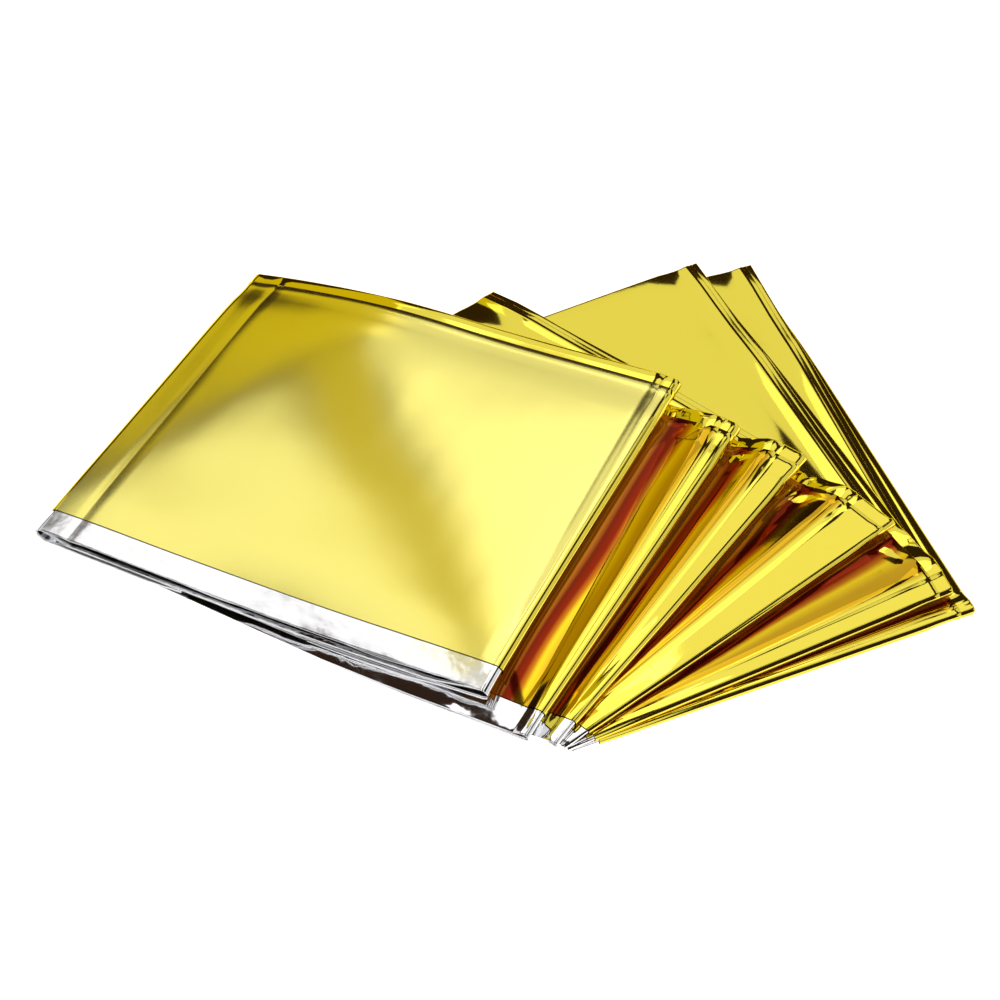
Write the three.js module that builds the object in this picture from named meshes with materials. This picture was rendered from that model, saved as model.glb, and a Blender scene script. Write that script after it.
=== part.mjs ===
// Emergency foil blanket, folded and fanned out, in millimetres with +Z up.
//
// One film is pleated lengthwise into a flat strip, and the strip is pleated again like a
// concertina. Its panels lie on each other, fanned clockwise about the corner where the right-hand
// folds meet. This solid is that strip: one back-and-forth section, swept from the near edge of
// the strip (across = 0) to its far edge (across = 1).

import * as THREE from 'three';

// Driving dimensions
const STRIP_THICKNESS = 1.0;
const SNUG_STEP = 1.4; // from one panel up to the next where the pile is pressed together
const LOOSE_STEPS = [1.6, 2.0, 2.4]; // the same under the third, second and top layers of the pile
const TURNED_UNDER = 0.33; // share of a panel's length turned under at the free left end
const SHORTEST_DRAPE = 26; // how far beyond a lower panel's edge the lowest panels take to settle
const LONGEST_DRAPE = 80; // the same for the top panel, which spans like a springy board
const STATIONS_ACROSS = 10;
const STEPS_ALONG = 15;
const LOOP_CLEARANCE = 0.6; // least distance from a loop's rounding in to its crest
const LONGEST_SLOPE = 12; // behind a crest, where the steps along a panel become even
const LOOP_ANGLES = [45, 0, -45]; // creases of a fold's rounded edge, in degrees from level
const FOIL_COLOUR = 0xe3cd3f;

// Right-hand folds, top to bottom. Each is its outer edge's near and far end in plan, then at those
// two ends: the height of its loop, how far in from the edge its crest stands, and over what
// distance the panel comes down behind the crest. The crest rises by crestUp at the far end.
const RIGHT_FOLDS = [
  { near: [-4, -72], far: [51, 28], loop: [3.4, 4.4], crest: [1.4, 4.6], crestUp: 0.2, run: [60, 60] },
  { near: [6, -82], far: [67, 14], loop: [2.2, 4.4], crest: [1.4, 4.6], crestUp: 0.3, run: [2.4, 12] },
  { near: [13, -82.5], far: [85, 5], loop: [1.7, 4.6], crest: [2.2, 7.5], crestUp: 1.6, run: [2.4, 12] },
  { near: [15, -82], far: [107, -15], loop: [1.5, 3.6], crest: [3.8, 12.5], crestUp: 2.6, run: [2.8, 14] },
  { near: [16, -81], far: [120, -35], loop: [1.4, 3.0], crest: [1.6, 5.5], crestUp: 1.4, run: [2.8, 14] },
  { near: [17, -80], far: [126, -39], loop: [1.4, 2.4], crest: [0.7, 2.4], crestUp: 0.1, run: [0.8, 4] },
];

// Left-hand folds, top to bottom. The first closes the turned-under end.
const LEFT_FOLDS = [
  { near: [-126, -18], far: [-76, 80] },
  { near: [-120, -18], far: [-60, 80] },
  { near: [-106, -24], far: [-42, 70] },
  { near: [-88, 1], far: [-3, 77] },
  { near: [-40, 41], far: [62, 91] },
  { near: [-27, 51], far: [80, 93] },
];

const HALF = STRIP_THICKNESS / 2;
const PANELS = 2 * RIGHT_FOLDS.length;
const TOP_LEVEL = PANELS; // the turned-under end takes one level below the top panel

const lerp = (a, b, t) => a + (b - a) * t;
const mix = (p, q, t) => p.map((value, i) => lerp(value, q[i], t));
const smooth = (t) => THREE.MathUtils.smoothstep(t, 0, 1);

// Segment 0 is the turned-under end, segment 1 the top panel, segment 12 the bottom panel.
// Each lies between one right-hand and one left-hand fold; from and to are shares of that width,
// in the order in which the strip runs.
function makeSegment(index) {
  const right = RIGHT_FOLDS[Math.max(Math.ceil(index / 2), 1) - 1];
  const left = LEFT_FOLDS[Math.min(Math.floor(index / 2), LEFT_FOLDS.length - 1)];
  const segment = { index, right, left, from: index % 2, to: 1 - (index % 2) };
  segment.level = index > 1 ? PANELS - index : TOP_LEVEL - 1 + index;
  if (index === 0) segment.from = 1 - TURNED_UNDER;
  if (index === PANELS) segment.to = 1 - TURNED_UNDER;
  segment.outline = outlineOf(segment);
  return segment;
}

// The corners of a segment in plan, counter-clockwise.
function outlineOf({ right, left, from, to }) {
  const low = Math.min(from, to);
  const high = Math.max(from, to);
  return [
    mix(right.near, left.near, low),
    mix(right.far, left.far, low),
    mix(right.far, left.far, high),
    mix(right.near, left.near, high),
  ];
}

const SEGMENTS = Array.from({ length: PANELS + 1 }, (_, index) => makeSegment(index));

// How high a panel lifts whatever lies on it.
function stepOver(level) {
  const loose = level - (TOP_LEVEL - LOOSE_STEPS.length);
  return loose < 0 ? SNUG_STEP : LOOSE_STEPS[loose];
}

// 1 over the outline, falling softly to 0 at the given distance outside it.
function coverage(outline, x, y, drape) {
  return outline.reduce((cover, [px, py], i) => {
    const [qx, qy] = outline[(i + 1) % outline.length];
    const inside = ((qx - px) * (y - py) - (qy - py) * (x - px)) / Math.hypot(qx - px, qy - py);
    return cover * smooth(1 + Math.min(inside, 0) / drape);
  }, 1);
}

// Height of a right-hand fold's loop, from the lower panel's middle surface to the upper one's.
const loopHeight = (fold, across) => lerp(fold.loop[0], fold.loop[1], across);

// Distance over which a panel comes down behind its crest.
const crestRun = (fold, across) => lerp(fold.run[0], fold.run[1], across);

// Distance from a right-hand fold in to its crest, clear of the loop's rounding.
const crestDistance = (fold, across) =>
  Math.max(lerp(fold.crest[0], fold.crest[1], across), loopHeight(fold, across) / 2 + LOOP_CLEARANCE);

// A point of the plan as its distance in from a right-hand fold and its share of the way along it.
function fromFold({ near, far }, x, y) {
  const [alongX, alongY] = [far[0] - near[0], far[1] - near[1]];
  const length = Math.hypot(alongX, alongY);
  const inward = (alongX * (y - near[1]) - alongY * (x - near[0])) / length;
  const across = (alongX * (x - near[0]) + alongY * (y - near[1])) / length ** 2;
  return { inward: Math.max(inward, 0), across: THREE.MathUtils.clamp(across, 0, 1) };
}

// What a panel that comes down to a right-hand fold from above adds to its resting height:
// the fold's springy loop, and the crest a little way in from it. Both fade towards the near edge.
function springUp({ index, level, right }, x, y) {
  if (index % 2 === 0) return 0;
  const { inward, across } = fromFold(right, x, y);
  const loop = loopHeight(right, across);
  const crest = crestDistance(right, across);
  const edgeRise = loop - stepOver(level === TOP_LEVEL ? level - 2 : level - 1);
  const crestRise = edgeRise + right.crestUp * across;
  if (inward < crest) return lerp(edgeRise, crestRise, Math.max(inward - loop / 2, 0) / crest);
  return crestRise * (1 - smooth((inward - crest) / crestRun(right, across)));
}

// Height of a segment's middle surface, lying on everything below it.
function surfaceHeight(segment, x, y) {
  const drape = lerp(SHORTEST_DRAPE, LONGEST_DRAPE, (segment.level / TOP_LEVEL) ** 2);
  return SEGMENTS.filter((lower) => lower.level < segment.level).reduce(
    (height, lower) =>
      height +
      stepOver(lower.level) * coverage(lower.outline, x, y, drape) +
      springUp(lower, x, y),
    HALF + springUp(segment, x, y),
  );
}

// The ends in plan of a segment's full width at one station, and that width.
function reachAt({ right, left }, across) {
  const start = mix(right.near, right.far, across);
  const end = mix(left.near, left.far, across);
  return { start, end, width: Math.hypot(end[0] - start[0], end[1] - start[1]) };
}

// Points of a segment's middle surface at one station, from right to left.
function segmentPoints(segment, across) {
  const { start, end, width } = reachAt(segment, across);
  return inwardStops(segment, across, width).map((stop) => {
    const [x, y] = mix(start, end, stop / width);
    return new THREE.Vector3(x, y, surfaceHeight(segment, x, y));
  });
}

// Distances in from the right-hand fold at which a segment is drawn: at its loop's end, on its
// crest, and evenly beyond.
function inwardStops({ index, right, from, to }, across, width) {
  const loopEnd = loopHeight(right, across) / 2;
  const low = Math.min(from, to) * width;
  const high = Math.max(from, to) * width;
  const first = low === 0 ? loopEnd : low;
  const last = high === width ? width - SNUG_STEP / 2 : high;
  const evenly = (count, start) =>
    Array.from({ length: count }, (_, i) => lerp(start, last, i / (count - 1)));
  if (index % 2 === 0) return evenly(STEPS_ALONG, first);
  const crest = crestDistance(right, across);
  const foot = crest + Math.min(crestRun(right, across), LONGEST_SLOPE);
  const slope = [first, crest, lerp(crest, foot, 0.5)];
  return [...slope, ...evenly(STEPS_ALONG - slope.length, foot)];
}

// The rounded edge between the last point of one segment and the first point of the next.
function foldLoop(start, end, outward) {
  const centre = start.clone().lerp(end, 0.5);
  const radius = Math.abs(start.z - end.z) / 2;
  const rise = Math.sign(start.z - end.z);
  return LOOP_ANGLES.map((degrees) => {
    const angle = THREE.MathUtils.degToRad(degrees) * rise;
    return centre
      .clone()
      .addScaledVector(outward, radius * Math.cos(angle))
      .add(new THREE.Vector3(0, 0, radius * Math.sin(angle)));
  });
}

// The strip's middle line at one station, from the turned-under end to the bottom panel's end.
function middleLine(across) {
  const runs = SEGMENTS.map((segment) => {
    const points = segmentPoints(segment, across);
    return segment.from > segment.to ? points.reverse() : points;
  });
  return runs.flatMap((points, index) => {
    if (index === runs.length - 1) return points;
    const end = points[points.length - 1];
    const next = runs[index + 1][0];
    const outward = end.clone().sub(points[points.length - 2]).setZ(0).normalize();
    return [...points, ...foldLoop(end, next, outward)];
  });
}

// Both faces of the strip: the middle line moved half a thickness to each side, with its
// corners mitred.
function faces(lines, station) {
  const line = lines[station];
  const before = lines[Math.max(station - 1, 0)];
  const after = lines[Math.min(station + 1, lines.length - 1)];
  const normalOf = (a, b, i) => {
    const along = b.clone().sub(a);
    return along.cross(after[i].clone().sub(before[i])).normalize();
  };
  const offsets = line.map((point, i) => {
    const first = normalOf(line[Math.max(i - 1, 0)], line[Math.max(i, 1)], i);
    const last = Math.min(i, line.length - 2);
    const second = normalOf(line[last], line[last + 1], i);
    const middle = first.add(second);
    return middle.multiplyScalar((2 * HALF) / middle.lengthSq());
  });
  return {
    upper: line.map((point, i) => point.clone().add(offsets[i])),
    lower: line.map((point, i) => point.clone().sub(offsets[i])),
  };
}

// A closed body: rings around the strip's section, joined station by station and capped.
function makeStrip() {
  const stations = Array.from({ length: STATIONS_ACROSS }, (_, i) => i / (STATIONS_ACROSS - 1));
  const lines = stations.map(middleLine);
  const count = lines[0].length;
  const rings = lines.map((_, station) => {
    const { upper, lower } = faces(lines, station);
    return [...upper, ...lower.reverse()];
  });
  const ringSize = 2 * count;
  const indices = [];
  const quad = (a, b, c, d) => indices.push(a, c, b, a, d, c);
  for (let station = 0; station < rings.length - 1; station += 1) {
    for (let i = 0; i < ringSize; i += 1) {
      const here = station * ringSize;
      const next = (i + 1) % ringSize;
      quad(here + i, here + ringSize + i, here + ringSize + next, here + next);
    }
  }
  const farRing = (rings.length - 1) * ringSize;
  for (let i = 0; i < count - 1; i += 1) {
    const opposite = ringSize - 1 - i;
    quad(i, i + 1, opposite - 1, opposite);
    quad(farRing + i, farRing + opposite, farRing + opposite - 1, farRing + i + 1);
  }
  const geometry = new THREE.BufferGeometry();
  geometry.setFromPoints(rings.flat());
  geometry.setIndex(indices);
  return geometry;
}

// Stand the part on z = 0 with the middle of its footprint at the origin.
function centreOnFloor(geometry) {
  geometry.computeBoundingBox();
  const { min, max } = geometry.boundingBox;
  geometry.translate(-(min.x + max.x) / 2, -(min.y + max.y) / 2, -min.z);
  geometry.computeVertexNormals();
  return geometry;
}

const foil = new THREE.MeshStandardMaterial({ color: FOIL_COLOUR, roughness: 0.2, metalness: 1 });
const blanket = new THREE.Mesh(centreOnFloor(makeStrip()), foil);
blanket.name = 'blanket';

const part = new THREE.Group();
part.name = 'emergency_foil_blanket';
part.add(blanket);

export default part;
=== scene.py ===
"""Emergency foil blanket: the film itself, laid on the folds of its CAD solid.

The film is pleated lengthwise into a strip of eighteen plies, gold outside, and the strip is
folded like a concertina into twelve fanned panels. Folds, levels and drape repeat the CAD part's
own. The plies, their staggered hems, the gaping near edge, the creased ridges, the puckers and
the soft waves are added here. The film's lengths are in millimetres until it becomes a mesh, and
those of the stage, the lights and the camera are in metres.
"""

import math

import bpy
import numpy as np
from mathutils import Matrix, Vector


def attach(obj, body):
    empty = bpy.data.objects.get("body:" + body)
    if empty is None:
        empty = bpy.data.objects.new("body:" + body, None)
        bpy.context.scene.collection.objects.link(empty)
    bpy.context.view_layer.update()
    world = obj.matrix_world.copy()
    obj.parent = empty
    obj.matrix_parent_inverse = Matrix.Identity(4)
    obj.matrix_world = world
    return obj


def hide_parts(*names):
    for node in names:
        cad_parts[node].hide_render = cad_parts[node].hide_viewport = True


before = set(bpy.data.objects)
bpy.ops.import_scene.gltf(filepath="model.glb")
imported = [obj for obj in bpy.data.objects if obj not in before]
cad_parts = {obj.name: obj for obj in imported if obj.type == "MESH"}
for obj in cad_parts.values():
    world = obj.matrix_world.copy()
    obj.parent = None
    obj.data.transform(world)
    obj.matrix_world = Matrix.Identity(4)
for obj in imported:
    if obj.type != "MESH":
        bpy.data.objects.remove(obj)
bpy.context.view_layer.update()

MM = 0.001

# The strip and the pile, as in the CAD part.
STRIP_THICKNESS = 1.0
STRIP_WIDTH = 114.0
SNUG_STEP = 1.4  # from one level of the pile to the next
LOOSE_STEPS = (1.6, 2.0, 2.4)  # the same for the top levels
TURNED_UNDER = 0.33  # share of a panel
SHORTEST_DRAPE = 26.0
LONGEST_DRAPE = 80.0
LOOP_CLEARANCE = 0.6

# Right-hand folds, top to bottom: the near and far end of each outer edge in plan. Then, at those
# two ends, the height of each one's loop, how far in its crest stands and how far the panel runs
# down behind the crest, which rises by crest_up at the far end.
RIGHT_EDGES = [
    dict(near=(-4, -72), far=(51, 28)),
    dict(near=(6, -82), far=(67, 14)),
    dict(near=(13, -82.5), far=(85, 5)),
    dict(near=(15, -82), far=(107, -15)),
    dict(near=(16, -81), far=(120, -35)),
    dict(near=(17, -80), far=(126, -39)),
]
RIDGES = [
    dict(loop=(3.4, 4.4), crest=(1.4, 4.6), crest_up=0.2, run=(60, 60)),
    dict(loop=(2.2, 4.4), crest=(1.4, 4.6), crest_up=0.3, run=(2.4, 12)),
    dict(loop=(1.7, 4.6), crest=(2.2, 7.5), crest_up=1.6, run=(2.4, 12)),
    dict(loop=(1.5, 3.6), crest=(3.8, 12.5), crest_up=2.6, run=(2.8, 14)),
    dict(loop=(1.4, 3.0), crest=(1.6, 5.5), crest_up=1.4, run=(2.8, 14)),
    dict(loop=(1.4, 2.4), crest=(0.7, 2.4), crest_up=0.1, run=(0.8, 4)),
]
RIGHT_FOLDS = [{**edge, **ridge} for edge, ridge in zip(RIGHT_EDGES, RIDGES)]

# Left-hand folds, top to bottom. The first closes the turned-under end.
LEFT_FOLDS = [
    dict(near=(-126, -18), far=(-76, 80)),
    dict(near=(-120, -18), far=(-60, 80)),
    dict(near=(-106, -24), far=(-42, 70)),
    dict(near=(-88, 1), far=(-3, 77)),
    dict(near=(-40, 41), far=(62, 91)),
    dict(near=(-27, 51), far=(80, 93)),
]

# The plies, from one outer gold face of the strip to the other. The points of a hem count as half
# way between its two plies. The hems come in pairs of plies and are staggered.
PLIES = 18
HALF_PLY = 0.5
CUT_EDGE_INSET = 7.5
NEAR_HEM_INSETS = (0.0, 0.9, 0.3, 1.3, 0.5, 0.1, 1.1, 0.4)
FAR_HEM_INSETS = (4.2, 0.3, 1.6, 0.0, 2.6, 0.8, 0.2, 1.9, 3.2)
HEM_BULGE = 0.12
PRESSED = 0.2  # share of their spacing that inner plies keep away from the hems
HEM_REACH = 7.0
PINCHED = 0.5  # share of its thickness that the strip has at its near edge
PINCH_REACH = 12.0

# The strip gapes at its near edge: in each segment the upper skin stands up by the first length,
# and the rest hangs by the second.
SKIN_PLIES = 3
GAPES = {0: (0.2, 1.0), 1: (0.0, 3.8), 2: (0.0, 0.6), 5: (0.0, 0.3)}
NARROW_GAPE = (0.0, 0.2)
GAPE_REACH = 12.0
GAPE_FADE = 3  # rows from either end of a segment
GAPE_OPENING = 18.0  # distance from a right-hand fold
LOOSE_PAIR = (3, 4)  # two plies that stray between the top panel's skin and the rest
LOOSE_HANG, LOOSE_WANDER = 0.5, 0.3  # as shares of the way down
LOOSE_LENGTH = 31.0

# The two outer plies dip just inside the far hem, leaving it standing as a lip.
DIP = 0.38
DIP_START, DIP_FULL, DIP_END, DIP_GONE = 2.5, 7.0, 8.5, 15.5  # distances from the far edge

# How finely the film is drawn.
OUTER_POINTS = 20
DIP_STATIONS = np.array((14.0, 11.0, 8.0, 4.5))
INNER_POINTS = 6
HEM_STATIONS = np.array((2.5, 6.5, 14.0))  # the same for every ply, near both edges
HEM_GAP = 0.6
LIT_EDGE = 0.45  # the bright rim of an inner ply
TOP_PANEL_ROWS = 34
EVEN_PANEL_ROWS = 13
ODD_PANEL_ROWS = 18
CROWDING = 1.7  # the power that draws an odd panel's rows together towards its ridge
CREST_ROWS = 4
SLOPE_ROWS = 4
LOOP_ANGLES = (72, 66, 20, 14, -35, -41, -80)  # degrees round a fold's rounded edge
CREASE_WIDTH = 0.35  # from a crease to the row on each side of it
CREASE_DEPTH = 0.18
CREASE_FADE = 0.3  # share of the width over which a ridge's crease deepens from the near edge

# A crease across the top panel beside its left fold.
LEFT_CREASE = 8.5
LEFT_CREASE_DEPTH = 0.07
LEFT_CREASE_ROWS = 4

# How far the near edge hangs down on some segments, away from their ridges.
DROOPS = {0: 2.2, 2: 2.3, 3: 1.1, 4: 0.6, 5: 0.3}
DROOP_REACH = 12.0
DROOP_FADE = 30.0

# Small crinkles along the near edge: their height and length on the top two segments, and below.
TOP_CRINKLE = (0.07, 11.0)
LOWER_CRINKLE = (0.26, 6.0)
CRINKLE_REACH = 10.0

# Puckers at the valleys' far ends.
CRUMPLED = (3, 5, 7, 9)
PUCKER = 1.6
PUCKER_LENGTH = 6.5
PUCKER_START = 0.84  # share of the strip's width

# The film's unevenness, and the directions in radians and shares of a length that make it up.
BROAD_WAVE, BROAD_LENGTH = 0.14, 52.0
FINE_WAVE, FINE_LENGTH = 0.03, 15.0
RIPPLE_PARTS = ((0.3, 1.0), (1.7, 1.31), (2.6, 0.73), (4.4, 1.9))

# Turns, in radians, that keep the ripples from lying alike.
BROAD_TURN = 0.7
FINE_TURN = 2.1
CRINKLE_TURN, CRINKLE_TURN_STEP = 3.1, 0.2  # the step is for each segment
PUCKER_TURN_STEP = 1.3
LOOSE_TURN = 0.4

LONGEST_SLOPE = 12.0  # behind a crest, as far as it is drawn in close rows
DIFFERENCE = 0.002  # share of the width used to measure the surface's slope
TINY = 1e-6  # keeps a share from being nothing over nothing

HALF = STRIP_THICKNESS / 2
PANELS = 2 * len(RIGHT_FOLDS)
TOP_LEVEL = PANELS


def lerp(a, b, t):
    return a + (b - a) * t


def smooth(t):
    t = np.clip(t, 0, 1)
    return t * t * (3 - 2 * t)


def mix(p, q, t):
    """Points between p and q in plan, as arrays of x and y."""
    return lerp(p[0], q[0], t), lerp(p[1], q[1], t)


def left_of(p, q, x, y):
    """Distance of a point to the left of the line from p to q in plan."""
    (px, py), (qx, qy) = p, q
    return ((qx - px) * (y - py) - (qy - py) * (x - px)) / math.hypot(qx - px, qy - py)


# ---------------------------------------------------------------- the folded strip


def make_segment(index):
    """Segment 0 is the turned-under end, 1 the top panel and 12 the bottom panel."""
    right = RIGHT_FOLDS[max(math.ceil(index / 2), 1) - 1]
    left = LEFT_FOLDS[min(index // 2, len(LEFT_FOLDS) - 1)]
    start, end = index % 2, 1 - index % 2
    if index == 0:
        start = 1 - TURNED_UNDER
    if index == PANELS:
        end = 1 - TURNED_UNDER
    # The turned-under end lies just below the top panel.
    level = PANELS - index if index > 1 else TOP_LEVEL - 1 + index
    low, high = min(start, end), max(start, end)
    outline = [
        mix(right["near"], left["near"], low),
        mix(right["far"], left["far"], low),
        mix(right["far"], left["far"], high),
        mix(right["near"], left["near"], high),
    ]
    return dict(
        index=index, right=right, left=left, start=start, end=end, level=level, outline=outline
    )


SEGMENTS = [make_segment(index) for index in range(PANELS + 1)]


def step_over(level):
    """How high a panel lifts whatever lies on it."""
    loose = level - (TOP_LEVEL - len(LOOSE_STEPS))
    return SNUG_STEP if loose < 0 else LOOSE_STEPS[loose]


def coverage(outline, x, y, drape):
    """1 over the outline, falling softly to 0 at the drape's distance outside it."""
    cover = 1.0
    for p, q in zip(outline, outline[1:] + outline[:1]):
        cover = cover * smooth(1 + np.minimum(left_of(p, q, x, y), 0) / drape)
    return cover


def loop_height(fold, across):
    return lerp(fold["loop"][0], fold["loop"][1], across)


def crest_distance(fold, across):
    clear = loop_height(fold, across) / 2 + LOOP_CLEARANCE
    return np.maximum(lerp(fold["crest"][0], fold["crest"][1], across), clear)


def crest_run(fold, across):
    return lerp(fold["run"][0], fold["run"][1], across)


def inward_of(fold, x, y):
    """Distance in from a right-hand fold."""
    return np.maximum(left_of(fold["near"], fold["far"], x, y), 0)


def along_fold(fold, x, y):
    """Share of the way along a right-hand fold, from its near end."""
    (nx, ny), (fx, fy) = fold["near"], fold["far"]
    along_x, along_y = fx - nx, fy - ny
    share = (along_x * (x - nx) + along_y * (y - ny)) / math.hypot(along_x, along_y) ** 2
    return np.clip(share, 0, 1)


def spring_up(segment, x, y):
    """What a fold's springy loop and its crest add to a panel that comes down to it."""
    if segment["index"] % 2 == 0:
        return 0.0
    fold, level = segment["right"], segment["level"]
    inward, across = inward_of(fold, x, y), along_fold(fold, x, y)
    loop = loop_height(fold, across)
    # At the ridge the top panel skips the turned-under end, which stops short of it.
    crest = crest_distance(fold, across)
    edge_rise = loop - step_over(level - 2 if level == TOP_LEVEL else level - 1)
    crest_rise = edge_rise + fold["crest_up"] * across
    rising = lerp(edge_rise, crest_rise, np.maximum(inward - loop / 2, 0) / crest)
    falling = crest_rise * (1 - smooth((inward - crest) / crest_run(fold, across)))
    return np.where(inward < crest, rising, falling)


def surface_height(segment, x, y):
    """Height of a segment's middle surface, lying on everything below it."""
    drape = lerp(SHORTEST_DRAPE, LONGEST_DRAPE, (segment["level"] / TOP_LEVEL) ** 2)
    height = np.full_like(x, HALF) + spring_up(segment, x, y)
    for lower in SEGMENTS:
        if lower["level"] < segment["level"]:
            height = height + step_over(lower["level"]) * coverage(lower["outline"], x, y, drape)
            height = height + spring_up(lower, x, y)
    return height


def ripple(x, y, length, turn):
    """Soft waves of about the given length, from -1 to 1, that never quite repeat."""
    total = 0.0
    for i, (angle, stretch) in enumerate(RIPPLE_PARTS):
        along = x * math.cos(angle + turn) + y * math.sin(angle + turn)
        total = total + np.sin(2 * math.pi * along / (length * stretch) + turn * (i + 1))
    return total / len(RIPPLE_PARTS)


def waves(segment, x, y):
    """The film's gentle unevenness, which grows up the pile."""
    share = segment["level"] / TOP_LEVEL
    broad = BROAD_WAVE * ripple(x, y, BROAD_LENGTH, BROAD_TURN + segment["index"])
    fine = FINE_WAVE * ripple(x, y, FINE_LENGTH, FINE_TURN + segment["index"])
    return share * (broad + fine)


def near_droop(segment, x, y, across):
    """How far the loose near edge hangs down on the panels just below the top one."""
    hang = 1 - smooth(across * STRIP_WIDTH / DROOP_REACH)
    fade = smooth(inward_of(segment["right"], x, y) / DROOP_FADE)
    return DROOPS.get(segment["index"], 0.0) * hang * fade


def crinkles(segment, x, y, across):
    """Small waves in the film by its near edge."""
    height, length = TOP_CRINKLE if segment["level"] >= TOP_LEVEL - 1 else LOWER_CRINKLE
    reach = 1 - smooth(across * STRIP_WIDTH / CRINKLE_REACH)
    turn = CRINKLE_TURN + CRINKLE_TURN_STEP * segment["index"]
    return height * reach * ripple(x, y, length, turn)


def valley_sides(segment, x, y, across):
    """How far points lie beyond the ridge above a valley, and short of the crest below it."""
    upper = RIGHT_FOLDS[RIGHT_FOLDS.index(segment["right"]) - 1]
    beyond = -left_of(upper["near"], upper["far"], x, y)
    before = inward_of(segment["right"], x, y) - crest_distance(segment["right"], across)
    return beyond, before


def crumple(segment, x, y, across):
    """Small puckers where the far end of a valley was pinched between its ridges."""
    if segment["index"] not in CRUMPLED:
        return 0.0
    beyond, before = valley_sides(segment, x, y, across)
    open_part = smooth(beyond / PUCKER_LENGTH) * smooth(before / PUCKER_LENGTH)
    far_part = smooth((across - PUCKER_START) / (1 - PUCKER_START))
    pucker = 1 - np.abs(ripple(x, y, PUCKER_LENGTH, PUCKER_TURN_STEP * segment["index"]))
    return PUCKER * pucker * open_part * far_part


def spread(first, last, count, crowding):
    """Stops from first to last, closer together near the first where crowding is above 1."""
    return [lerp(first, last, (i / (count - 1)) ** crowding) for i in range(count)]


def inward_stops(segment, across, width):
    """Distances in from the right-hand fold at which a segment is drawn, one row each."""
    loop_end = loop_height(segment["right"], across) / 2
    low = min(segment["start"], segment["end"])
    high = max(segment["start"], segment["end"])
    first = loop_end if low == 0 else low * width
    last = width - SNUG_STEP / 2 if high == 1 else high * width
    if segment["index"] % 2 == 0:
        return spread(first, last, EVEN_PANEL_ROWS, 1)
    crest = crest_distance(segment["right"], across)
    slope = np.minimum(crest_run(segment["right"], across), LONGEST_SLOPE)
    rising = spread(first, crest - CREASE_WIDTH, CREST_ROWS + 1, 1)
    falling = spread(crest + CREASE_WIDTH, crest + slope, SLOPE_ROWS, 1)
    foot = falling.pop()
    if segment["index"] == 1:
        crease = last - LEFT_CREASE
        beyond = spread(foot, crease - CREASE_WIDTH, TOP_PANEL_ROWS, 1)
        beyond += [crease] + spread(crease + CREASE_WIDTH, last, LEFT_CREASE_ROWS, 1)
    else:
        beyond = spread(foot, last, ODD_PANEL_ROWS, CROWDING)
    return rising + [crest] + falling + beyond


def segment_rows(segment, across):
    """The segment's middle surface: rows by width by x, y, z, from right to left."""
    right, left = segment["right"], segment["left"]
    start_x, start_y = mix(right["near"], right["far"], across)
    end_x, end_y = mix(left["near"], left["far"], across)
    width = np.hypot(end_x - start_x, end_y - start_y)
    share = np.array(inward_stops(segment, across, width)) / width
    x, y = lerp(start_x, end_x, share), lerp(start_y, end_y, share)
    height = surface_height(segment, x, y) + waves(segment, x, y)
    height += crinkles(segment, x, y, across) - near_droop(segment, x, y, across)
    height += crumple(segment, x, y, across)
    if segment["index"] % 2:
        height[CREST_ROWS + 1] -= CREASE_DEPTH * smooth(across / CREASE_FADE)
    if segment["index"] == 1:
        height[-LEFT_CREASE_ROWS - 1] -= LEFT_CREASE_DEPTH
    return np.stack([x, y, height], axis=-1)


def fold_loop(start, before, end):
    """The rounded edge between one segment's last row and the next one's first."""
    outward = (start - before) * (1, 1, 0)
    outward = outward / np.linalg.norm(outward, axis=-1, keepdims=True)
    upward = np.array((0, 0, 1))
    centre = (start + end) / 2
    radius = np.abs(start[:, 2:] - end[:, 2:]) / 2
    rise = np.sign(start[:, 2:] - end[:, 2:])
    rows = []
    for degrees in LOOP_ANGLES:
        angle = math.radians(degrees) * rise
        rows.append(centre + outward * radius * np.cos(angle) + upward * radius * np.sin(angle))
    return rows


def middle_surface(across):
    """The strip's middle surface along its whole length: rows by width by x, y, z."""
    runs = []
    for segment in SEGMENTS:
        rows = list(segment_rows(segment, across))
        runs.append(rows[::-1] if segment["start"] > segment["end"] else rows)
    surface = []
    for rows, following in zip(runs, runs[1:]):
        surface += rows + fold_loop(rows[-1], rows[-2], following[0])
    return np.array(surface + runs[-1])


def unit(vectors):
    return vectors / np.linalg.norm(vectors, axis=-1, keepdims=True)


def mitred_normals(across, middle):
    """Directions towards the strip's outer face, lengthened at creases to keep its thickness."""
    sideways = middle_surface(across + DIFFERENCE) - middle_surface(across - DIFFERENCE)
    steps = np.diff(middle, axis=0)
    before = np.concatenate([steps[:1], steps])
    after = np.concatenate([steps, steps[-1:]])
    both = unit(np.cross(before, sideways)) + unit(np.cross(after, sideways))
    return both * 2 / np.sum(both * both, axis=-1, keepdims=True)


# ---------------------------------------------------------------- the plies of film


def hem_insets():
    """How far each ply stops short of the strip's near and far edges, in millimetres."""
    near, far = np.zeros(PLIES), np.zeros(PLIES)
    near[0] = near[-1] = CUT_EDGE_INSET
    for pair, inset in enumerate(NEAR_HEM_INSETS):
        near[2 * pair + 1 : 2 * pair + 3] = inset
    for pair, inset in enumerate(FAR_HEM_INSETS):
        far[2 * pair : 2 * pair + 2] = inset
    return near, far


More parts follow.
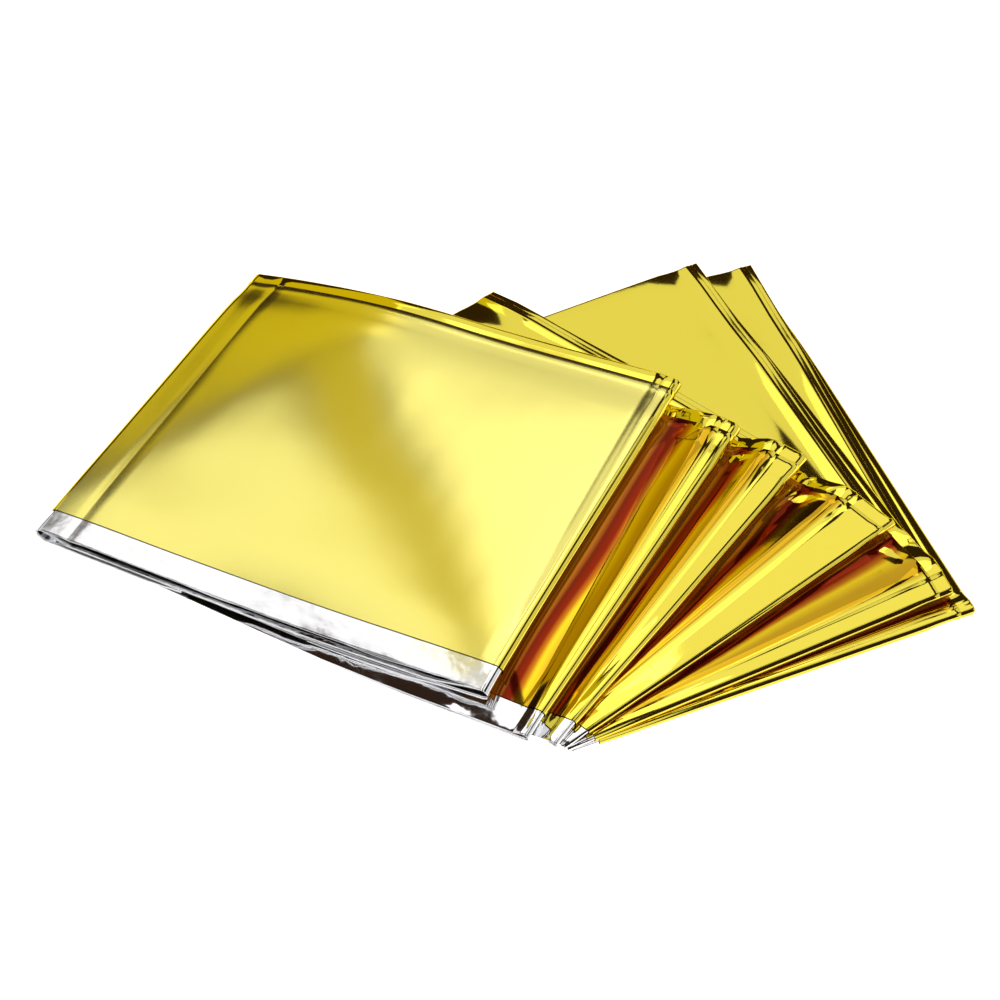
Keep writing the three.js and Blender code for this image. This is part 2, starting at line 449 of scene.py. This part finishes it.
def ply_offsets(ply, across):
    """Height of a ply above the strip's middle surface."""
    offset = HALF - STRIP_THICKNESS * ply / (PLIES - 1)
    offset = offset * lerp(PINCHED, 1, smooth(across * STRIP_WIDTH / PINCH_REACH))
    if ply in (0, PLIES - 1):
        inside = (1 - across) * STRIP_WIDTH
        dip = smooth((inside - DIP_START) / (DIP_FULL - DIP_START))
        dip = dip * (1 - smooth((inside - DIP_END) / (DIP_GONE - DIP_END)))
        return offset - DIP * dip * np.sign(offset)
    edge = np.minimum(across, 1 - across) * STRIP_WIDTH
    return offset * lerp(1, PRESSED, smooth(edge / HEM_REACH))


def ply_stations(ply, near, far):
    """Distances from the strip's near edge at which a ply is drawn, from hem to hem."""
    outer = ply in (0, PLIES - 1)
    reach = HEM_STATIONS[-1]
    middle = np.linspace(reach, STRIP_WIDTH - reach, OUTER_POINTS if outer else INNER_POINTS)
    stations = np.concatenate([HEM_STATIONS[:-1], middle, STRIP_WIDTH - HEM_STATIONS[-2::-1]])
    if outer:
        stations = np.union1d(stations, STRIP_WIDTH - DIP_STATIONS)
    inside = (stations > near + HEM_GAP) & (stations < STRIP_WIDTH - far - HEM_GAP)
    rim = [near] if outer else [near, near + LIT_EDGE]
    return np.concatenate([rim, stations[inside], [STRIP_WIDTH - far]])


def strip_section():
    """The section across the strip: share of the width, offset and ply at every point."""
    near, far = hem_insets()
    across, offset, plies = [], [], []
    for ply in range(PLIES):
        shares = ply_stations(ply, near[ply], far[ply]) / STRIP_WIDTH
        if ply % 2:
            shares = shares[::-1]
        heights = ply_offsets(ply, shares)
        if across:
            bulge = HEM_BULGE / STRIP_WIDTH * (1 if ply % 2 else -1)
            across.append([across[-1][-1] + bulge])
            offset.append([(offset[-1][-1] + heights[0]) / 2])
            plies.append([ply - HALF_PLY])
        across.append(shares)
        offset.append(heights)
        plies.append([float(ply)] * len(shares))
    return (np.concatenate(values) for values in (across, offset, plies))


def past_first_skin(plies):
    """Where the section has left the plies that make the skin at its start."""
    return plies >= SKIN_PLIES - HALF_PLY


def before_last_skin(plies):
    """Where the section has not come to the plies that make the skin at its end."""
    return plies <= PLIES - SKIN_PLIES - HALF_PLY


def near_gape(points, owners, across, plies):
    """How the plies part at the near edge: three stand up as a skin and the rest hang."""
    open_part = 1 - smooth(across * STRIP_WIDTH / GAPE_REACH)
    rise = np.zeros((len(owners), len(across)))
    for segment in SEGMENTS:
        rows = np.flatnonzero(owners == segment["index"])
        steps = np.arange(len(rows))
        inward = inward_of(segment["right"], points[rows, :, 0], points[rows, :, 1])
        fade = smooth(np.minimum(steps, steps[::-1]) / GAPE_FADE)[:, None]
        fade = fade * smooth(inward / GAPE_OPENING)
        # Every other segment lies the other way up, with its last plies on top.
        hangs = past_first_skin(plies) if segment["index"] % 2 else before_last_skin(plies)
        skin, hang = GAPES.get(segment["index"], NARROW_GAPE)
        shift = np.tile(np.where(hangs, -hang, skin), (len(rows), 1))
        if segment["index"] == 1:
            loose = (plies >= LOOSE_PAIR[0]) & (plies <= LOOSE_PAIR[1])
            x, y = points[rows][:, loose, 0], points[rows][:, loose, 1]
            stray = LOOSE_HANG + LOOSE_WANDER * ripple(x, y, LOOSE_LENGTH, LOOSE_TURN)
            shift[:, loose] = lerp(skin, -hang, stray)
        rise[rows] = shift * fade * open_part
    return rise


def film_points(owners):
    """Every point of the film in millimetres, and the section it was drawn with."""
    across, offset, plies = strip_section()
    middle = middle_surface(across)
    points = middle + mitred_normals(across, middle) * offset[:, None]
    points[..., 2] += near_gape(points, owners, across, plies)
    return points, across, plies


def grid_faces(rows, across):
    """Triangles between the rows, split the same way on every ply so that none cuts another."""
    corner = np.arange(rows * len(across)).reshape(rows, -1)
    a, b = corner[:-1, :-1], corner[:-1, 1:]
    d, c = corner[1:, :-1], corner[1:, 1:]
    outbound = np.diff(across) >= 0
    first = np.where(outbound[:, None], np.stack([a, b, c], -1), np.stack([a, b, d], -1))
    second = np.where(outbound[:, None], np.stack([a, c, d], -1), np.stack([b, c, d], -1))
    return np.stack([first, second], axis=2).reshape(-1, 3)


def row_owners():
    """The segment that each row belongs to, and half-way numbers for the folds between them."""
    owners = []
    for segment in SEGMENTS:
        count = len(segment_rows(segment, np.zeros(1)))
        owners += [float(segment["index"])] * count
        if segment["index"] < PANELS:
            owners += [segment["index"] + 0.5] * len(LOOP_ANGLES)
    return np.array(owners)


def valley_share(points, owners):
    """Where a point lies across the valley between two ridges, 0 under the upper one, 1 at the
    lower one's crest, and 1 everywhere else. It places the painted reflections and shade on the
    gold face."""
    share = np.ones(points.shape[:2])
    for segment in SEGMENTS[3::2]:
        rows = owners == segment["index"]
        x, y = points[rows, :, 0], points[rows, :, 1]
        beyond, before = valley_sides(segment, x, y, along_fold(segment["right"], x, y))
        beyond, before = np.maximum(beyond, 0), np.maximum(before, 0)
        across_valley = beyond / (beyond + before + TINY)
        midway = 4 * across_valley * (1 - across_valley)
        waver = VALLEY_WAVER * ripple(x, y, VALLEY_WAVER_LENGTH, segment["index"])
        across_valley += waver * midway
        share[rows] = np.clip(across_valley, 0, 1) ** VALLEY_SPREADS[segment["index"]]
    return share


def add_attribute(mesh, name, values):
    attribute = mesh.attributes.new(name, "FLOAT", "POINT")
    attribute.data.foreach_set("value", values.astype(np.float32).ravel())


def lit_share(across, plies):
    """1 where light reaches the film, falling towards 0 deep between the inner plies."""
    inner = past_first_skin(plies) & before_last_skin(plies)
    rims = np.interp(plies, np.arange(PLIES), hem_insets()[0])
    return np.where(inner, np.exp((rims - across * STRIP_WIDTH) / LIT_REACH), 1.0)


def silver_columns(across, plies):
    """1 for the columns of faces in the near half of the inner plies, and 0 for the gold ones."""
    silvered = (across < NEAR_HALF) & (plies > 0) & (plies < PLIES - 1)
    return (silvered[:-1] & silvered[1:]).astype(np.int32)


def set_down(points):
    """The points centred on the origin in plan, with the lowest one on the floor."""
    low, high = points.min((0, 1)), points.max((0, 1))
    middle = (low + high) / 2
    return points - (middle[0], middle[1], low[2])


def make_film(gold, silver):
    """The film as one mesh, with the values that its materials read at every point."""
    owners = row_owners()
    points, across, plies = film_points(owners)
    outer = plies == 0
    valley = np.where(outer, valley_share(points, owners), 1.0)
    satin = np.where(outer | (plies == 1), (owners == 1)[:, None], 0.0)
    points = set_down(points) * MM
    rows = len(points)
    mesh = bpy.data.meshes.new("foil_film")
    mesh.from_pydata(points.reshape(-1, 3).tolist(), [], grid_faces(rows, across).tolist())
    mesh.materials.append(gold)
    mesh.materials.append(silver)
    slots = np.repeat(silver_columns(across, plies), 2)
    mesh.polygons.foreach_set("material_index", np.tile(slots, rows - 1))
    add_attribute(mesh, "valley", valley)
    add_attribute(mesh, "satin", satin)
    add_attribute(mesh, "lit", np.tile(lit_share(across, plies), rows))
    mesh.shade_smooth()
    film = bpy.data.objects.new("foil_film", mesh)
    bpy.context.scene.collection.objects.link(film)
    return film


# ---------------------------------------------------------------- materials


GOLD = (0.93, 0.79, 0.09)
GOLD_EDGE = (1.0, 0.62, 0.15)  # the tint of the metal seen edge on
GOLD_ROUGHNESS = (0.06, 0.18)  # mirror-bright and satin
GOLD_CRINKLE = 0.0001  # the height of the finest crinkle, in metres
# A paler gold on the top panel is a painted sheen: it stands in for the white sheen of a clear
# coat.
PAINTED_SHEEN_GOLD = (0.96, 0.86, 0.23)
SILVER = (0.965, 0.97, 0.985)
SILVER_EDGE = (1.0, 1.0, 1.0)
SILVER_ROUGHNESS = (0.07, 0.16)
SILVER_CRINKLE = 0.0012
UNLIT_SILVER = (0.012, 0.012, 0.013)
NEAR_HALF = 0.5  # share of the strip's width in which the inner plies show silver
LIT_REACH = 0.3  # how deep between the plies light gets
CRINKLE_SCALE = 90
CRINKLE_DETAIL = 3
CRINKLE_STRENGTH = 0.2

# Painted reflections and shade on the gold face, in place of the film mirroring itself many times
# in a valley: from the depth of a valley to its open parts, dark red painted shade, amber painted
# reflections and a bright painted highlight band, then gold. They waver across the valley, and
# the deep ones are duller. With a spread below 1 they crowd up towards the ridge above.
VALLEY_WAVER, VALLEY_WAVER_LENGTH = 0.07, 34.0
VALLEY_METAL, VALLEY_METAL_END = 0.45, 0.6
VALLEY_SPREADS = {3: 1.0, 5: 1.15, 7: 1.1, 9: 0.65, 11: 0.9}
PAINTED_VALLEY_SHADE_AND_REFLECTIONS = (
    (0.0, (0.55, 0.26, 0.02)),
    (0.1, (0.50, 0.16, 0.012)),
    (0.2, (0.18, 0.008, 0.003)),
    (0.36, (0.27, 0.015, 0.003)),
    (0.47, (0.55, 0.18, 0.01)),
    (0.56, (0.90, 0.64, 0.02)),
    (0.72, (0.64, 0.38, 0.02)),
    (0.9, (0.58, 0.34, 0.012)),
    (0.98, GOLD),
)

FLOOR_COLOUR = (0.9, 0.9, 0.9)
FLOOR_ROUGHNESS = 0.8
FLOOR_GLOW = 0.86


def new_material(name):
    material = bpy.data.materials.new(name)
    material.use_nodes = True
    return material, material.node_tree.nodes["Principled BSDF"]


def link(material, source, output, target, socket):
    material.node_tree.links.new(source.outputs[output], target.inputs[socket])


def read_attribute(material, name):
    node = material.node_tree.nodes.new("ShaderNodeAttribute")
    node.attribute_name = name
    return node


def mapped(material, source, output, low, high):
    """A node that maps 0..1 to low..high."""
    node = material.node_tree.nodes.new("ShaderNodeMapRange")
    node.inputs["To Min"].default_value = low
    node.inputs["To Max"].default_value = high
    link(material, source, output, node, "Value")
    return node


def noise(material, scale, detail):
    nodes = material.node_tree.nodes
    place = nodes.new("ShaderNodeTexCoord")
    node = nodes.new("ShaderNodeTexNoise")
    node.inputs["Scale"].default_value = scale
    node.inputs["Detail"].default_value = detail
    link(material, place, "Object", node, "Vector")
    return node


def film_finish(name, edge_tint, roughness, crinkle_height):
    """Bright metal, satin on the top panel, with a fine crinkle."""
    material, shader = new_material(name)
    nodes = material.node_tree.nodes
    shader.inputs["Metallic"].default_value = 1.0
    shader.inputs["Specular Tint"].default_value = (*edge_tint, 1)
    crinkle = noise(material, CRINKLE_SCALE, CRINKLE_DETAIL)
    bump = nodes.new("ShaderNodeBump")
    bump.inputs["Strength"].default_value = CRINKLE_STRENGTH
    bump.inputs["Distance"].default_value = crinkle_height
    link(material, crinkle, "Fac", bump, "Height")
    link(material, bump, "Normal", shader, "Normal")
    satin = mapped(material, read_attribute(material, "satin"), "Fac", *roughness)
    link(material, satin, "Result", shader, "Roughness")
    return material, shader


def gold_film():
    """Painted reflections and shade across the valleys, and paler where it is satin: a painted
    sheen.
    """
    material, shader = film_finish("gold_film", GOLD_EDGE, GOLD_ROUGHNESS, GOLD_CRINKLE)
    # The ramp paints reflections and shade across the valleys of the gold face.
    ramp = material.node_tree.nodes.new("ShaderNodeValToRGB")
    link(material, read_attribute(material, "valley"), "Fac", ramp, "Fac")
    colours = ramp.color_ramp.elements
    while len(colours) < len(PAINTED_VALLEY_SHADE_AND_REFLECTIONS):
        colours.new(1.0)
    for element, (position, colour) in zip(colours, PAINTED_VALLEY_SHADE_AND_REFLECTIONS):
        element.position = position
        element.color = (*colour, 1)
    # Paler gold on the top panel, where the film is satin: a painted sheen.
    tone = material.node_tree.nodes.new("ShaderNodeMix")
    tone.data_type = "RGBA"
    link(material, read_attribute(material, "satin"), "Fac", tone, "Factor")
    link(material, ramp, "Color", tone, "A")
    tone.inputs["B"].default_value = (*PAINTED_SHEEN_GOLD, 1)
    link(material, tone, "Result", shader, "Base Color")
    metal = mapped(material, read_attribute(material, "valley"), "Fac", VALLEY_METAL, 1.0)
    metal.inputs["From Max"].default_value = VALLEY_METAL_END
    link(material, metal, "Result", shader, "Metallic")
    return material


def silver_film():
    """Bright on the skin and on the hems, dark deep between the plies, where no light gets."""
    material, shader = film_finish("silver_film", SILVER_EDGE, SILVER_ROUGHNESS, SILVER_CRINKLE)
    tone = material.node_tree.nodes.new("ShaderNodeMix")
    tone.data_type = "RGBA"
    link(material, read_attribute(material, "lit"), "Fac", tone, "Factor")
    tone.inputs["A"].default_value = (*UNLIT_SILVER, 1)
    tone.inputs["B"].default_value = (*SILVER, 1)
    link(material, tone, "Result", shader, "Base Color")
    return material


def floor_material():
    material, shader = new_material("pale_floor")
    shader.inputs["Base Color"].default_value = (*FLOOR_COLOUR, 1)
    shader.inputs["Roughness"].default_value = FLOOR_ROUGHNESS
    shader.inputs["Emission Color"].default_value = (*WHITE, 1)
    shader.inputs["Emission Strength"].default_value = FLOOR_GLOW
    return material


# ---------------------------------------------------------------- stage, lights, camera

CAMERA_ELEVATION = math.radians(53.3)
CAMERA_DISTANCE = 0.405
CAMERA_LENS = 51.2
CAMERA_SENSOR = 36
CAMERA_TARGET = (0.0, -0.0055, 0.0)
MOST_BOUNCES = 16
GLOSSY_BOUNCES = 14
LIGHT_DISTANCE = 2.0
FLOOR_SIZE = 24.0
DARK_STUDIO = (0.026, 0.014, 0.009, 1)
WHITE = (1.0, 1.0, 1.0)
AMBER = (1.0, 0.84, 0.03)

# Each light's name, its azimuth and elevation in degrees, its size in metres, its radiance and
# its colour. Azimuth 0 is straight behind the blanket, 90 to its right.
SOFTBOXES = (
    ("high_back", 10, 62.5, (0.82, 0.9), 1.35, WHITE),
    ("middle_back", 6, 43, (0.95, 0.5), 0.82, WHITE),
    ("low_back", -20, 33, (0.8, 0.6), 0.6, AMBER),
    ("back_left", -37, 56, (0.36, 0.8), 1.15, WHITE),
    ("between", -20, 53, (0.32, 0.75), 0.52, AMBER),
    ("right", 65, 62, (1.0, 0.9), 0.95, WHITE),
    ("side", 112, 50, (0.5, 0.6), 0.8, WHITE),
    ("low_right", 95, 14, (1.6, 0.8), 0.7, WHITE),
    ("overhead", -40, 84, (0.8, 0.5), 0.9, WHITE),
    ("back_right", 55, 28, (1.2, 1.0), 0.75, WHITE),
    ("far_left", -62, 28, (1.2, 1.0), 0.75, WHITE),
    ("left", -98, 33, (1.1, 0.9), 0.85, WHITE),
    ("front_left", -140, 30, (1.5, 1.5), 0.95, WHITE),
    ("front_right", 165, 30, (1.5, 1.5), 0.85, WHITE),
)


def make_floor():
    bpy.ops.mesh.primitive_plane_add(size=FLOOR_SIZE)
    floor = bpy.context.object
    floor.name = "floor"
    floor.data.materials.append(floor_material())


def softbox(name, azimuth, elevation, size, radiance, colour):
    """A rectangular light that faces the blanket and that the camera doesn't see."""
    light = bpy.data.lights.new(name, "AREA")
    light.color = colour
    light.shape = "RECTANGLE"
    light.size, light.size_y = size
    light.energy = radiance * math.pi * size[0] * size[1]
    lamp = bpy.data.objects.new(name, light)
    az, el = math.radians(azimuth), math.radians(elevation)
    towards = Vector((math.cos(el) * math.sin(az), math.cos(el) * math.cos(az), math.sin(el)))
    lamp.location = towards * LIGHT_DISTANCE
    lamp.rotation_mode = "QUATERNION"
    lamp.rotation_quaternion = towards.to_track_quat("Z", "Y")
    lamp.visible_camera = False
    bpy.context.scene.collection.objects.link(lamp)


def make_lights():
    world = bpy.data.worlds.new("studio")
    bpy.context.scene.world = world
    world.use_nodes = True
    world.node_tree.nodes["Background"].inputs["Color"].default_value = DARK_STUDIO
    for box in SOFTBOXES:
        softbox(*box)


def make_camera():
    data = bpy.data.cameras.new("camera")
    data.lens = CAMERA_LENS
    data.sensor_width = CAMERA_SENSOR
    camera = bpy.data.objects.new("camera", data)
    camera.location = (
        CAMERA_TARGET[0],
        CAMERA_TARGET[1] - CAMERA_DISTANCE * math.cos(CAMERA_ELEVATION),
        CAMERA_TARGET[2] + CAMERA_DISTANCE * math.sin(CAMERA_ELEVATION),
    )
    camera.rotation_euler = (math.radians(90) - CAMERA_ELEVATION, 0, 0)
    bpy.context.scene.collection.objects.link(camera)
    bpy.context.scene.camera = camera


def main():
    film = make_film(gold_film(), silver_film())
    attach(film, "root")
    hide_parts("blanket")
    make_floor()
    make_lights()
    make_camera()


main()
bpy.context.scene.view_settings.view_transform = "Standard"
bpy.context.scene.cycles.max_bounces = MOST_BOUNCES
bpy.context.scene.cycles.glossy_bounces = GLOSSY_BOUNCES
